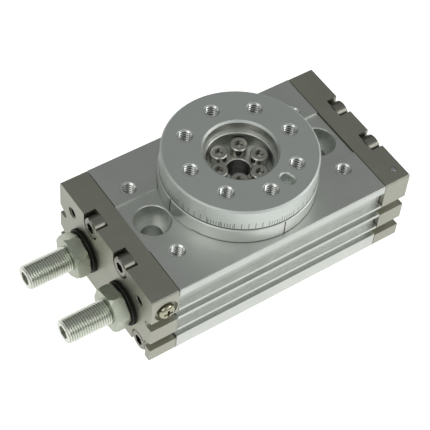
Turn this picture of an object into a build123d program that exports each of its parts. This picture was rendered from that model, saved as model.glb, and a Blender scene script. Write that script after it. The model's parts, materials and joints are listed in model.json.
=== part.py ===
from build123d import *
from math import atan, cos, pi, radians, sin, sqrt, tan
import os

# Pneumatic rotary table with two rack pistons and a hollow pinion shaft.
# Units are millimetres. The origin lies on the axis of rotation, in the flat mounting face
# under the body. X runs along the body with the stroke adjusters at -X, Z is up.

# Housing
overall_length = 117.0
body_width = 65.0
body_height = 37.0
cover_length = 11.5
gasket_thickness = 0.3
gasket_inset = 0.5
body_edge_round = 0.5
cover_edge_round = 0.8

# Side profile of the drawn body: two sensor slots a side, each under a raised ridge
slot_height_low = 9.6
slot_pitch = 12.8
slot_width = 3.9
slot_depth = 4.5
ridge_height = 1.35
recess_depth = 2.1
low_recess_height = 6.0
high_recess_height = 7.6

# Notches in the covers that leave the slot ends open
notch_drop = 3.0
notch_end_radius = 1.6
notch_depth = 4.4
notch_mouth_rise = 1.9

# Shallow channel along the top face
channel_width = 24.0
channel_depth = 0.75

# Cylinders, racks and pinion
cylinder_bore = 18.0
cylinder_offset = 14.1
cylinder_height = 16.0
gear_module = 1.0
pinion_teeth = 16
pressure_angle = 20.0
tooth_backlash = 0.16
tooth_foot = 0.6
pinion_length = 12.4
piston_length = 60.0
piston_chamfer = 0.5
rack_teeth_each_side = 6
rack_land = 1.9
addendum = 1.0
dedendum = 1.25
swing_each_way = 95.0
rest_angle = -3.5

# Piston seals, wear rings and magnet
seal_width = 2.2
seal_section = 1.9
seal_end_distance = 2.2
wear_ring_width = 2.0
wear_ring_section = 0.8
wear_ring_end_distance = 5.6
magnet_radius = 2.2
magnet_length = 4.0

# Table
table_rise = 17.0
table_diameter = 60.0
table_thickness = 9.6
table_edge_chamfer = 0.7
table_pilot = 28.0
pilot_depth = 5.1
pilot_chamfer = 0.8
pocket_diameter = 25.6
pocket_depth = 10.8
ledge_chamfer = 0.35
table_hole_circle = 43.0
table_hole_count = 8
table_hole_depth = 8.0
pin_slot_width = 4.0
pin_slot_length = 5.8
pin_slot_depth = 4.5
pin_slot_chamfer = 0.5
pin_slot_turn = -67.5

# Hollow shaft and what clamps the table to it
shaft_bore = 9.0
shaft_bore_chamfer = 0.3
shaft_neck = 13.8
shaft_flange = 1.85
shaft_register = 2.0
shaft_tail_gap = 0.4
table_screw_circle = 17.5
table_screw_count = 6
table_screw_reach = 7.0
table_pin_diameter = 3.0
table_pin_length = 8.0
table_pin_circle = 29.0
table_pin_turn = 30.0

# Upper bearing, size 35 x 47 x 7, and lower bearing, size 12 x 21 x 5
upper_bearing = dict(bore=35.0, outside=47.0, width=7.0, ball=3.5, balls=16, land=1.8)
lower_bearing = dict(bore=12.0, outside=21.0, width=5.0, ball=2.4, balls=10, land=1.3)
ring_corner = 0.3
race_clearance = 0.04
cage_wall = 0.8
cage_margin = 0.5
cage_clearance = 0.1
shoulder_step = 3.0
chamber_gap = 0.5
flange_gap = 0.4

# Bearing retainer, the round boss under the table
retainer_diameter = 61.0
retainer_bore = 40.6
retainer_gap = 0.4
retainer_chamfer = 0.4
retainer_screw_circle = 53.2
retainer_screw_count = 4
retainer_screw_turn = 45.0
retainer_screw_recess = 3.4
retainer_screw_reach = 5.0
index_mark_width = 0.5
index_mark_depth = 0.25
index_mark_count = 4

# Mounting holes of the body
base_pilot = 18.0
base_pilot_depth = 2.5
thread_hole_spacing_x = 76.0
thread_hole_spacing_y = 34.0
thread_hole_diameter = 6.0
thread_hole_depth = 10.0
thread_rim = 0.2
through_hole_spacing = 76.0
through_hole = 8.6
counterbore = 14.0
counterbore_depth = 8.5
counterbore_rim = 0.35

# Screws, as head diameter, head height, shank diameter, hexagon socket and its depth
cover_screw = dict(head=8.5, height=5.0, shank=5.0, socket=4.0, depth=2.5)
table_screw = dict(head=7.0, height=4.0, shank=4.0, socket=3.0, depth=2.0)
retainer_screw = dict(head=5.5, height=3.0, shank=3.0, socket=2.5, depth=1.3)
head_corner = 0.4
hexagon_sides = 6
cover_screw_reach = 7.0
cover_screw_recess = 9.2
top_screw_offset = 10.4
top_screw_drop = 3.7
low_screw_offset = 24.7
low_screw_height = 4.4
screw_clearance = 0.25
thread_clearance = 0.05
hole_end_gap = 1.0

# Ports in the adjuster cover and the plugs in its side ports
port_thread = 5.0
port_offset = 23.5
port_drop = 8.5
port_depth = 8.0
side_port_distance = 6.2
side_port_recess = 9.8
side_port_recess_depth = 1.5
plug_head = 7.6
plug_dome = 3.1
plug_crown = 1.8
plug_reach = 4.5
ball_plug_diameter = 2.3
ball_plug_distance = 7.5
ball_plug_offset = 26.7
ball_plug_depth = 2.0
ball_plug_crown = 0.35

# Stroke adjusters
adjuster_thread = 10.0
adjuster_reach = 26.0
adjuster_travel_in = 2.0
adjuster_chamfer = 0.6
adjuster_socket = 5.0
adjuster_socket_depth = 5.0
pad_diameter = 7.0
pad_length = 3.2
pad_stand = 0.7
stop_gap = 0.3
nut_across_flats = 16.0
nut_height = 5.5
nut_corner_chamfer = 0.7
nut_face_margin = 0.2
near_nut_angle = 45.8
far_nut_angle = 22.0
washer_diameter = 18.2
washer_height = 1.3
washer_step_diameter = 17.0
washer_step_height = 1.0

# Fits between neighbours, as gaps on the radius
running_fit = 0.05
bearing_fit = 0.02
pin_fit = 0.02
piston_fit = 0.15
retainer_fit = 0.12
length_tolerance = 0.01

# Sizes that follow from the ones above
half_width = body_width / 2
half_length = overall_length / 2
body_length = overall_length - 2 * (cover_length + gasket_thickness)
half_body = body_length / 2
channel_floor = body_height - channel_depth
top_screw_height = body_height - top_screw_drop
port_height = body_height - port_drop
pitch_radius = gear_module * pinion_teeth / 2
tip_radius = pitch_radius + addendum * gear_module
root_radius = pitch_radius - dedendum * gear_module
rack_face = pitch_radius - addendum * gear_module
rack_root = pitch_radius + dedendum * gear_module
flank_slope = tan(radians(pressure_angle))
bore_radius = cylinder_bore / 2
piston_radius = bore_radius - piston_fit
rack_pitch = pi * gear_module
rack_half = (rack_teeth_each_side + 0.5) * rack_pitch
half_stroke = pitch_radius * radians(swing_each_way)
nut_corner = nut_across_flats / 2 / cos(pi / hexagon_sides)
table_height = body_height + table_rise
table_underside = table_height - table_thickness
pocket_floor = table_height - pocket_depth
retainer_top = table_underside - retainer_gap
upper_bearing_base = channel_floor - upper_bearing["width"]
lower_bearing_base = base_pilot_depth
lower_bearing_top = lower_bearing_base + lower_bearing["width"]
chamber_radius = lower_bearing["outside"] / 2 + chamber_gap
shoulder_radius = upper_bearing["outside"] / 2 - shoulder_step
flange_base = upper_bearing_base - shaft_flange
shoulder_floor = flange_base - flange_gap
register_radius = upper_bearing["bore"] / 2
inner_land_radius = register_radius + upper_bearing["land"]
shaft_top = channel_floor + shaft_register
pinion_base = cylinder_height - pinion_length / 2
pad_tip = -(piston_length / 2 + half_stroke + stop_gap + adjuster_travel_in)
bolt_tip = pad_tip - pad_stand
bolt_end = -(half_length + adjuster_reach)
slot_heights = [slot_height_low, slot_height_low + slot_pitch]
recess_heights = [low_recess_height, high_recess_height]
near_screw_places = [(top_screw_offset, top_screw_height), (low_screw_offset, low_screw_height)]
cover_screw_places = [(side * y, z) for side in (-1, 1) for y, z in near_screw_places]
cylinder_places = [(-cylinder_offset, cylinder_height), (cylinder_offset, cylinder_height)]
sides = {"near": -1, "far": 1}

os.makedirs("parts", exist_ok=True)


def save(part, label):
    """Name one finished piece and write its file."""
    part.label = label
    export_step(part, "parts/" + label + ".step")


def turned_section(points):
    """Give the closed section of a turned piece from its (radius, height) points."""
    with BuildSketch(Plane.XZ, mode=Mode.PRIVATE) as section:
        with BuildLine():
            Polyline(*points, close=True)
        make_face()
    return section.sketch


def rim_edges(part, diameter):
    """Find the topmost circular edges of one diameter."""
    circles = part.edges().filter_by(GeomType.CIRCLE)
    rims = circles.filter_by(lambda edge: abs(2 * edge.radius - diameter) < length_tolerance)
    return rims.group_by(Axis.Z)[-1]


def slot_rim(part):
    """Find the topmost edges of the pin slot: its two ends and two straight sides."""
    top = part.edges().group_by(Axis.Z)[-1]
    ends = top.filter_by(GeomType.CIRCLE)
    ends = ends.filter_by(lambda edge: abs(2 * edge.radius - pin_slot_width) < length_tolerance)
    return ends + top.filter_by(GeomType.LINE)


def side_slots():
    """Cut both sensor slots and the recesses above their ridges, on both sides."""
    for side in (-1, 1):
        for height, recess_height in zip(slot_heights, recess_heights):
            slot_radius = slot_width / 2
            end_distance = half_width - slot_depth + slot_radius
            with Locations((side * end_distance, height)):
                Circle(slot_radius, mode=Mode.SUBTRACT)
            mouth = half_width - end_distance
            with Locations((side * (end_distance + mouth / 2), height)):
                Rectangle(mouth, slot_width, mode=Mode.SUBTRACT)
            recess_floor = height + slot_radius + ridge_height
            with Locations((side * (half_width - recess_depth / 2), recess_floor + recess_height / 2)):
                Rectangle(recess_depth, recess_height, mode=Mode.SUBTRACT)


def side_notches():
    """Cut the notches at the slot ends, flared upwards at the mouth."""
    for side in (-1, 1):
        for height in slot_heights:
            floor = height - notch_drop
            roof = floor + 2 * notch_end_radius
            end_distance = half_width - notch_depth + notch_end_radius
            with Locations((side * end_distance, floor + notch_end_radius)):
                Circle(notch_end_radius, mode=Mode.SUBTRACT)
            Polygon(
                (side * end_distance, floor),
                (side * half_width, floor),
                (side * half_width, height + notch_mouth_rise),
                (side * end_distance, roof),
                align=None,
                mode=Mode.SUBTRACT,
            )


def cylinder_circles(radius):
    """Draw one circle on each cylinder axis."""
    with Locations(*cylinder_places):
        Circle(radius)


# Body: a drawn bar with the cylinders bored through and the rotor seat bored from the top
with BuildPart() as body:
    with BuildSketch(Plane.YZ.offset(-half_body)) as body_section:
        with Locations((0, body_height / 2)):
            Rectangle(body_width, body_height)
        fillet(body_section.vertices(), body_edge_round)
        with Locations((0, body_height - channel_depth / 2)):
            Rectangle(channel_width, channel_depth, mode=Mode.SUBTRACT)
        side_slots()
    extrude(amount=body_length)
    with BuildSketch(Plane.YZ.offset(-half_body)):
        cylinder_circles(bore_radius)
    extrude(amount=body_length, mode=Mode.SUBTRACT)
    rotor_seat = turned_section([
        (0, 0),
        (base_pilot / 2, 0),
        (base_pilot / 2, lower_bearing_base),
        (lower_bearing["outside"] / 2 + bearing_fit, lower_bearing_base),
        (lower_bearing["outside"] / 2 + bearing_fit, lower_bearing_top),
        (chamber_radius, lower_bearing_top),
        (chamber_radius, shoulder_floor),
        (shoulder_radius, shoulder_floor),
        (shoulder_radius, upper_bearing_base),
        (upper_bearing["outside"] / 2 + bearing_fit, upper_bearing_base),
        (upper_bearing["outside"] / 2 + bearing_fit, channel_floor),
        (retainer_diameter / 2 + retainer_fit, channel_floor),
        (retainer_diameter / 2 + retainer_fit, body_height),
        (0, body_height),
    ])
    revolve(rotor_seat, axis=Axis.Z, mode=Mode.SUBTRACT)
    with Locations((0, 0, channel_floor)):
        with GridLocations(through_hole_spacing, 0, 2, 1):
            CounterBoreHole(through_hole / 2, counterbore / 2, counterbore_depth)
        with PolarLocations(retainer_screw_circle / 2, retainer_screw_count, retainer_screw_turn):
            Hole(retainer_screw["shank"] / 2 + thread_clearance, retainer_screw_reach + hole_end_gap)
    with Locations((0, 0, body_height)):
        with GridLocations(thread_hole_spacing_x, thread_hole_spacing_y, 2, 2):
            Hole(thread_hole_diameter / 2, thread_hole_depth)
    chamfer(rim_edges(body, counterbore), counterbore_rim)
    chamfer(rim_edges(body, thread_hole_diameter), thread_rim)
    for end in (-1, 1):
        with BuildSketch(Plane.YZ.offset(end * half_body)):
            with Locations(*cover_screw_places):
                Circle(cover_screw["shank"] / 2 + thread_clearance)
        extrude(amount=-end * (cover_screw_reach + hole_end_gap - gasket_thickness), mode=Mode.SUBTRACT)
save(body.part, "body")


# Covers: the same outline at both ends, with recesses for the cap screws
def cover_outline():
    """Draw the cover's end view."""
    with Locations((0, body_height / 2)):
        outline = Rectangle(body_width, body_height)
    fillet(outline.vertices(), cover_edge_round)
    side_notches()


def cut_screw_recesses(end):
    """Cut the open recesses and the holes for the four cap screws of one cover."""
    recess_radius = cover_screw_recess / 2
    with BuildSketch(Plane.YZ.offset(end * half_length), mode=Mode.PRIVATE) as recesses:
        with Locations(*cover_screw_places):
            Circle(recess_radius)
        for side in (-1, 1):
            with Locations((side * top_screw_offset, (top_screw_height + body_height) / 2)):
                Rectangle(cover_screw_recess, body_height - top_screw_height)
            with Locations((side * low_screw_offset, low_screw_height / 2)):
                Rectangle(cover_screw_recess, low_screw_height)
    extrude(recesses.sketch, amount=-end * cover_screw["height"], mode=Mode.SUBTRACT)
    with BuildSketch(Plane.YZ.offset(end * half_length), mode=Mode.PRIVATE) as holes:
        with Locations(*cover_screw_places):
            Circle(cover_screw["shank"] / 2 + screw_clearance)
    extrude(holes.sketch, amount=-end * cover_length, mode=Mode.SUBTRACT)


port_x = -half_length + side_port_distance
with BuildPart() as adjuster_cover:
    with BuildSketch(Plane.YZ.offset(-half_length)):
        cover_outline()
    extrude(amount=cover_length)
    cut_screw_recesses(-1)
    with BuildSketch(Plane.YZ.offset(-half_length)):
        cylinder_circles(adjuster_thread / 2 + running_fit)
    extrude(amount=cover_length, mode=Mode.SUBTRACT)
    with BuildSketch(Plane.YZ.offset(-half_length)):
        with Locations((-port_offset, port_height), (port_offset, port_height)):
            Circle(port_thread / 2)
    extrude(amount=port_depth, mode=Mode.SUBTRACT)
    for side in (-1, 1):
        with BuildSketch(Plane.XZ.offset(-side * half_width)):
            with Locations((port_x, port_height)):
                Circle(side_port_recess / 2)
        extrude(amount=side * side_port_recess_depth, mode=Mode.SUBTRACT)
        with BuildSketch(Plane.XZ.offset(-side * half_width)):
            with Locations((port_x, port_height)):
                Circle(port_thread / 2 + thread_clearance)
        extrude(amount=side * (half_width - port_offset), mode=Mode.SUBTRACT)
save(adjuster_cover.part, "adjuster_cover")

ball_x = half_length - ball_plug_distance / 2
with BuildPart() as end_cover:
    with BuildSketch(Plane.YZ.offset(half_length)):
        cover_outline()
    extrude(amount=-cover_length)
    cut_screw_recesses(1)
    with BuildSketch(Plane.XY.offset(body_height)):
        with Locations((ball_x, -ball_plug_offset)):
            Circle(ball_plug_diameter / 2 + pin_fit)
    extrude(amount=-ball_plug_depth, mode=Mode.SUBTRACT)
save(end_cover.part, "end_cover")

with BuildPart() as ball_plug:
    with Locations((ball_x, -ball_plug_offset, body_height - ball_plug_depth)):
        Cylinder(ball_plug_diameter / 2, ball_plug_depth, align=(Align.CENTER, Align.CENTER, Align.MIN))
    fillet(ball_plug.edges().group_by(Axis.Z)[-1], ball_plug_crown)
save(ball_plug.part, "ball_plug")

# Gaskets between the body and its covers
gasket_width = 2 * (half_width - slot_depth - gasket_inset)
for name, end in (("adjuster_gasket", -1), ("end_gasket", 1)):
    with BuildPart() as gasket:
        with BuildSketch(Plane.YZ.offset(end * half_body)):
            with Locations((0, channel_floor / 2)):
                Rectangle(gasket_width, channel_floor - 2 * gasket_inset)
            with Locations(*cylinder_places):
                Circle(bore_radius, mode=Mode.SUBTRACT)
            with Locations(*cover_screw_places):
                Circle(cover_screw["shank"] / 2 + screw_clearance, mode=Mode.SUBTRACT)
        extrude(amount=end * gasket_thickness)
    save(gasket.part, name)


# Socket head cap screws
def cap_screws(plane, places, screw, length):
    """Model a group of cap screws whose heads stand on the plane, pointing against its normal."""
    with BuildPart() as screws:
        with BuildSketch(plane):
            with Locations(*places):
                Circle(screw["head"] / 2)
        extrude(amount=screw["height"])
        head_top = plane.offset(screw["height"])
        head_edges = screws.edges().group_by(Axis(plane.origin, plane.z_dir))
        chamfer(head_edges[-1], head_corner)
        with BuildSketch(head_top):
            with Locations(*places):
                RegularPolygon(screw["socket"] / 2, hexagon_sides, major_radius=False)
        extrude(amount=-screw["depth"], mode=Mode.SUBTRACT)
        with BuildSketch(plane):
            with Locations(*places):
                Circle(screw["shank"] / 2)
        extrude(amount=-length)
    return screws.part


def polar_places(circle, count, start):
    """Give the points of a bolt circle."""
    step = 360 / count
    angles = [radians(start + step * i) for i in range(count)]
    return [(circle / 2 * cos(a), circle / 2 * sin(a)) for a in angles]


cover_screw_length = cover_length - cover_screw["height"] + cover_screw_reach
for name, end in (("adjuster_cover_screws", -1), ("end_cover_screws", 1)):
    seat = Plane(
        origin=(end * (half_length - cover_screw["height"]), 0, 0),
        x_dir=(0, end, 0),
        z_dir=(end, 0, 0),
    )
    save(cap_screws(seat, cover_screw_places, cover_screw, cover_screw_length), name)

# Round-headed plugs in the side ports
with BuildPart() as side_port_plugs:
    for side in (-1, 1):
        seat_y = side * (half_width - side_port_recess_depth)
        with BuildSketch(Plane.XZ.offset(-seat_y)):
            with Locations((port_x, port_height)):
                Circle(plug_head / 2)
        extrude(amount=-side * plug_dome)
        with BuildSketch(Plane.XZ.offset(-seat_y)):
            with Locations((port_x, port_height)):
                Circle(port_thread / 2)
        extrude(amount=side * plug_reach)
    crowns = side_port_plugs.edges().filter_by(GeomType.CIRCLE).group_by(Axis.Y)
    fillet(crowns[0] + crowns[-1], plug_crown)
save(side_port_plugs.part, "side_port_plugs")

# Bearing retainer with its index marks, and its screws
with BuildPart() as bearing_retainer:
    section = turned_section([
        (retainer_bore / 2, channel_floor),
        (retainer_diameter / 2, channel_floor),
        (retainer_diameter / 2, retainer_top - retainer_chamfer),
        (retainer_diameter / 2 - retainer_chamfer, retainer_top),
        (retainer_bore / 2, retainer_top),
    ])
    revolve(section, axis=Axis.Z)
    with Locations((0, 0, retainer_top)):
        with PolarLocations(retainer_screw_circle / 2, retainer_screw_count, retainer_screw_turn):
            CounterBoreHole(
                retainer_screw["shank"] / 2 + screw_clearance,
                retainer_screw["head"] / 2 + screw_clearance,
                retainer_screw_recess,
            )
    with BuildSketch(Plane.XY.offset(body_height)):
        with PolarLocations(retainer_diameter / 2, index_mark_count):
            Rectangle(2 * index_mark_depth, index_mark_width)
    extrude(amount=retainer_top - body_height, mode=Mode.SUBTRACT)
save(bearing_retainer.part, "bearing_retainer")

retainer_seat = retainer_top - retainer_screw_recess
save(
    cap_screws(
        Plane.XY.offset(retainer_seat),
        polar_places(retainer_screw_circle, retainer_screw_count, retainer_screw_turn),
        retainer_screw,
        retainer_seat - channel_floor + retainer_screw_reach,
    ),
    "retainer_screws",
)


# Ball bearings
def bearing_pieces(name, size, base):
    """Model one deep groove ball bearing as rings, balls and cage."""
    inner = size["bore"] / 2
    outer = size["outside"] / 2
    middle = (inner + outer) / 2
    centre = base + size["width"] / 2
    race = size["ball"] / 2 + race_clearance
    pieces = (
        ("inner", inner, inner + size["land"]),
        ("outer", outer - size["land"], outer),
    )
    for kind, low, high in pieces:
        with BuildPart() as ring:
            with BuildSketch(Plane.XZ) as section:
                with Locations(((low + high) / 2, centre)):
                    Rectangle(high - low, size["width"])
                chamfer(section.vertices(), ring_corner)
                with Locations((middle, centre)):
                    Circle(race, mode=Mode.SUBTRACT)
            revolve(axis=Axis.Z)
        save(ring.part, name + "_bearing_" + kind + "_ring")
    places = Plane.XY.offset(centre)
    with BuildPart() as balls:
        with Locations(places):
            with PolarLocations(middle, size["balls"], rest_angle):
                Sphere(size["ball"] / 2)
    save(balls.part, name + "_bearing_balls")
    cage_half = size["ball"] / 2 + cage_margin
    with BuildPart() as cage:
        with BuildSketch(Plane.XZ):
            with Locations((middle, centre)):
                Rectangle(cage_wall, 2 * cage_half)
        revolve(axis=Axis.Z)
        with Locations(places):
            with PolarLocations(middle, size["balls"], rest_angle):
                Cylinder(
                    size["ball"] / 2 + cage_clearance,
                    4 * cage_wall,
                    rotation=(0, 90, 0),
                    mode=Mode.SUBTRACT,
                )
    save(cage.part, name + "_bearing_cage")


bearing_pieces("upper", upper_bearing, upper_bearing_base)
bearing_pieces("lower", lower_bearing, lower_bearing_base)


# Pinion shaft: hollow, with the teeth at the height of the cylinders
def involute_point(base, radius, half_angle):
    """Give the point of a tooth flank at one radius."""
    roll = sqrt(max((radius / base) ** 2 - 1, 0))
    angle = half_angle - (roll - atan(roll))
    return (radius * cos(angle), radius * sin(angle))


def tooth_outline():
    """Draw one pinion tooth along the X axis, reaching into the root cylinder."""
    base = pitch_radius * cos(radians(pressure_angle))
    half_thickness = (rack_pitch - tooth_backlash) / 4 / pitch_radius
    half_angle = half_thickness + flank_slope - radians(pressure_angle)
    foot_radius = root_radius - tooth_foot
    foot = (foot_radius * cos(half_angle), foot_radius * sin(half_angle))
    low = involute_point(base, base, half_angle)
    mid = involute_point(base, (base + tip_radius) / 2, half_angle)
    tip = involute_point(base, tip_radius, half_angle)
    with BuildLine() as outline:
        Line(foot, low)
        ThreePointArc(low, mid, tip)
        ThreePointArc(tip, (tip_radius, 0), (tip[0], -tip[1]))
        ThreePointArc((tip[0], -tip[1]), (mid[0], -mid[1]), (low[0], -low[1]))
        Line((low[0], -low[1]), (foot[0], -foot[1]))
        Line((foot[0], -foot[1]), foot)
    return outline.line


tooth_edges = tooth_outline().edges()
with BuildPart() as pinion_shaft:
    section = turned_section([
        (shaft_bore / 2, lower_bearing_base + shaft_tail_gap),
        (lower_bearing["bore"] / 2 - bearing_fit, lower_bearing_base + shaft_tail_gap),
        (lower_bearing["bore"] / 2 - bearing_fit, lower_bearing_top),
        (shaft_neck / 2, lower_bearing_top),
        (shaft_neck / 2, pinion_base),
        (root_radius, pinion_base),
        (root_radius, pinion_base + pinion_length),
        (shaft_neck / 2, pinion_base + pinion_length),
        (shaft_neck / 2, flange_base),
        (inner_land_radius, flange_base),
        (inner_land_radius, upper_bearing_base),
        (register_radius - bearing_fit, upper_bearing_base),
        (register_radius - bearing_fit, shaft_top),
        (shaft_bore / 2, shaft_top),
    ])
    revolve(section, axis=Axis.Z)
    with BuildSketch(Plane.XY.offset(pinion_base)):
        with PolarLocations(0, pinion_teeth, 90 + rest_angle):
            add(make_face(tooth_edges, mode=Mode.PRIVATE))
    extrude(amount=pinion_length)
    with Locations((0, 0, shaft_top)):
        with PolarLocations(table_screw_circle / 2, table_screw_count, rest_angle):
            Hole(table_screw["shank"] / 2 + thread_clearance, table_screw_reach + hole_end_gap)
        with PolarLocations(table_pin_circle / 2, 1, rest_angle + table_pin_turn):
            Hole(table_pin_diameter / 2 + pin_fit, table_pin_length / 2)
save(pinion_shaft.part, "pinion_shaft")

# Table: bored for the screw heads, clamped down on the shaft and the inner ring
with BuildPart() as table:
    section = turned_section([
        (shaft_bore / 2, shaft_top),
        (register_radius, shaft_top),
        (register_radius, channel_floor),
        (inner_land_radius, channel_floor),
        (inner_land_radius, table_underside),
        (table_diameter / 2, table_underside),
        (table_diameter / 2, table_height - table_edge_chamfer),
        (table_diameter / 2 - table_edge_chamfer, table_height),
        (table_pilot / 2 + pilot_chamfer, table_height),
        (table_pilot / 2, table_height - pilot_chamfer),
        (table_pilot / 2, table_height - pilot_depth),
        (pocket_diameter / 2 + ledge_chamfer, table_height - pilot_depth),
        (pocket_diameter / 2, table_height - pilot_depth - ledge_chamfer),
        (pocket_diameter / 2, pocket_floor),
        (shaft_bore / 2 + shaft_bore_chamfer, pocket_floor),
        (shaft_bore / 2, pocket_floor - shaft_bore_chamfer),
    ])
    revolve(section, axis=Axis.Z)
    with Locations((0, 0, table_height)):
        with PolarLocations(table_hole_circle / 2, table_hole_count, rest_angle):
            Hole(thread_hole_diameter / 2, table_hole_depth)
    chamfer(rim_edges(table, thread_hole_diameter), thread_rim)
    with Locations((0, 0, pocket_floor)):
        with PolarLocations(table_screw_circle / 2, table_screw_count, rest_angle):
            Hole(table_screw["shank"] / 2 + screw_clearance, pocket_floor - shaft_top)
    with BuildSketch(Plane.XY.offset(shaft_top)):
        with PolarLocations(table_pin_circle / 2, 1, rest_angle + table_pin_turn):
            Circle(table_pin_diameter / 2 + pin_fit)
    extrude(amount=table_pin_length / 2, mode=Mode.SUBTRACT)
    with BuildSketch(Plane.XY.offset(table_height)):
        with PolarLocations(table_hole_circle / 2, 1, rest_angle + pin_slot_turn):
            SlotOverall(pin_slot_length, pin_slot_width)
    extrude(amount=-pin_slot_depth, mode=Mode.SUBTRACT)
    chamfer(slot_rim(table), pin_slot_chamfer)
save(table.part, "table")

save(
    cap_screws(
        Plane.XY.offset(pocket_floor),
        polar_places(table_screw_circle, table_screw_count, rest_angle),
        table_screw,
        pocket_floor - shaft_top + table_screw_reach,
    ),
    "table_screws",
)

with BuildPart() as table_pin:
    with BuildSketch(Plane.XY.offset(shaft_top - table_pin_length / 2)):
        with PolarLocations(table_pin_circle / 2, 1, rest_angle + table_pin_turn):
            Circle(table_pin_diameter / 2)
    extrude(amount=table_pin_length)
save(table_pin.part, "table_pin")


# Rack pistons with their seals, wear rings and magnets
def head_rings(centre, side, distance, width, section):
    """Model the pair of rings set in grooves at both ends of a piston."""
    with BuildPart() as rings:
        for end in (-1, 1):
            outer_face = centre + end * (piston_length / 2 - distance)
            with BuildSketch(Plane.YZ.offset(outer_face)):
                with Locations((side * cylinder_offset, cylinder_height)):
                    Circle(bore_radius - running_fit)
                    Circle(bore_radius - section, mode=Mode.SUBTRACT)
            extrude(amount=-end * width)
    return rings.part


def rack_piston(centre, side):
    """Model one piston with its rack facing the pinion."""
    with BuildPart() as piston:
        with BuildSketch(Plane.YZ.offset(centre - piston_length / 2)):
            with Locations((side * cylinder_offset, cylinder_height)):
                Circle(piston_radius)
        extrude(amount=piston_length)
        chamfer(piston.edges().filter_by(GeomType.CIRCLE), piston_chamfer)
        flat_depth = rack_face - (cylinder_offset - bore_radius)
        with BuildSketch(Plane.XY.offset(cylinder_height - bore_radius)):
            with Locations((centre, side * (rack_face - flat_depth / 2))):
                Rectangle(2 * (rack_half + rack_land), flat_depth)
            mouth = rack_pitch / 4 + (pitch_radius - rack_face) * flank_slope
            floor = rack_pitch / 4 - (rack_root - pitch_radius) * flank_slope
            for index in range(-rack_teeth_each_side, rack_teeth_each_side + 1):
                gap_x = centre + index * rack_pitch
                with BuildLine():
                    Polyline(
                        (gap_x - mouth, side * rack_face),
                        (gap_x + mouth, side * rack_face),
                        (gap_x + floor, side * rack_root),
                        (gap_x - floor, side * rack_root),
                        close=True,
                    )
                make_face()
        extrude(amount=cylinder_bore, mode=Mode.SUBTRACT)
        for distance, width, section in (
            (seal_end_distance, seal_width, seal_section),
            (wear_ring_end_distance, wear_ring_width, wear_ring_section),
        ):
            for end in (-1, 1):
                near_edge = centre + end * (piston_length / 2 - distance)
                with BuildSketch(Plane.YZ.offset(near_edge)):
                    with Locations((side * cylinder_offset, cylinder_height)):
                        Circle(bore_radius)
                        Circle(bore_radius - section, mode=Mode.SUBTRACT)
                extrude(amount=-end * width, mode=Mode.SUBTRACT)
        magnet_face = side * (cylinder_offset + piston_radius)
        with BuildSketch(Plane.XZ.offset(-magnet_face)):
            with Locations((centre, cylinder_height)):
                Circle(magnet_radius + pin_fit)
        extrude(amount=side * (magnet_length + piston_fit), mode=Mode.SUBTRACT)
    return piston.part


for name, side in sides.items():
    centre = -side * pitch_radius * radians(rest_angle)
    save(rack_piston(centre, side), name + "_rack_piston")
    save(
        head_rings(centre, side, seal_end_distance, seal_width, seal_section),
        name + "_piston_seals",
    )
    save(
        head_rings(centre, side, wear_ring_end_distance, wear_ring_width, wear_ring_section),
        name + "_wear_rings",
    )
    magnet_back = side * (cylinder_offset + piston_radius - piston_fit)
    with BuildPart() as magnet:
        with BuildSketch(Plane.XZ.offset(-magnet_back)):
            with Locations((centre, cylinder_height)):
                Circle(magnet_radius)
        extrude(amount=side * magnet_length)
    save(magnet.part, name + "_magnet")

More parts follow.
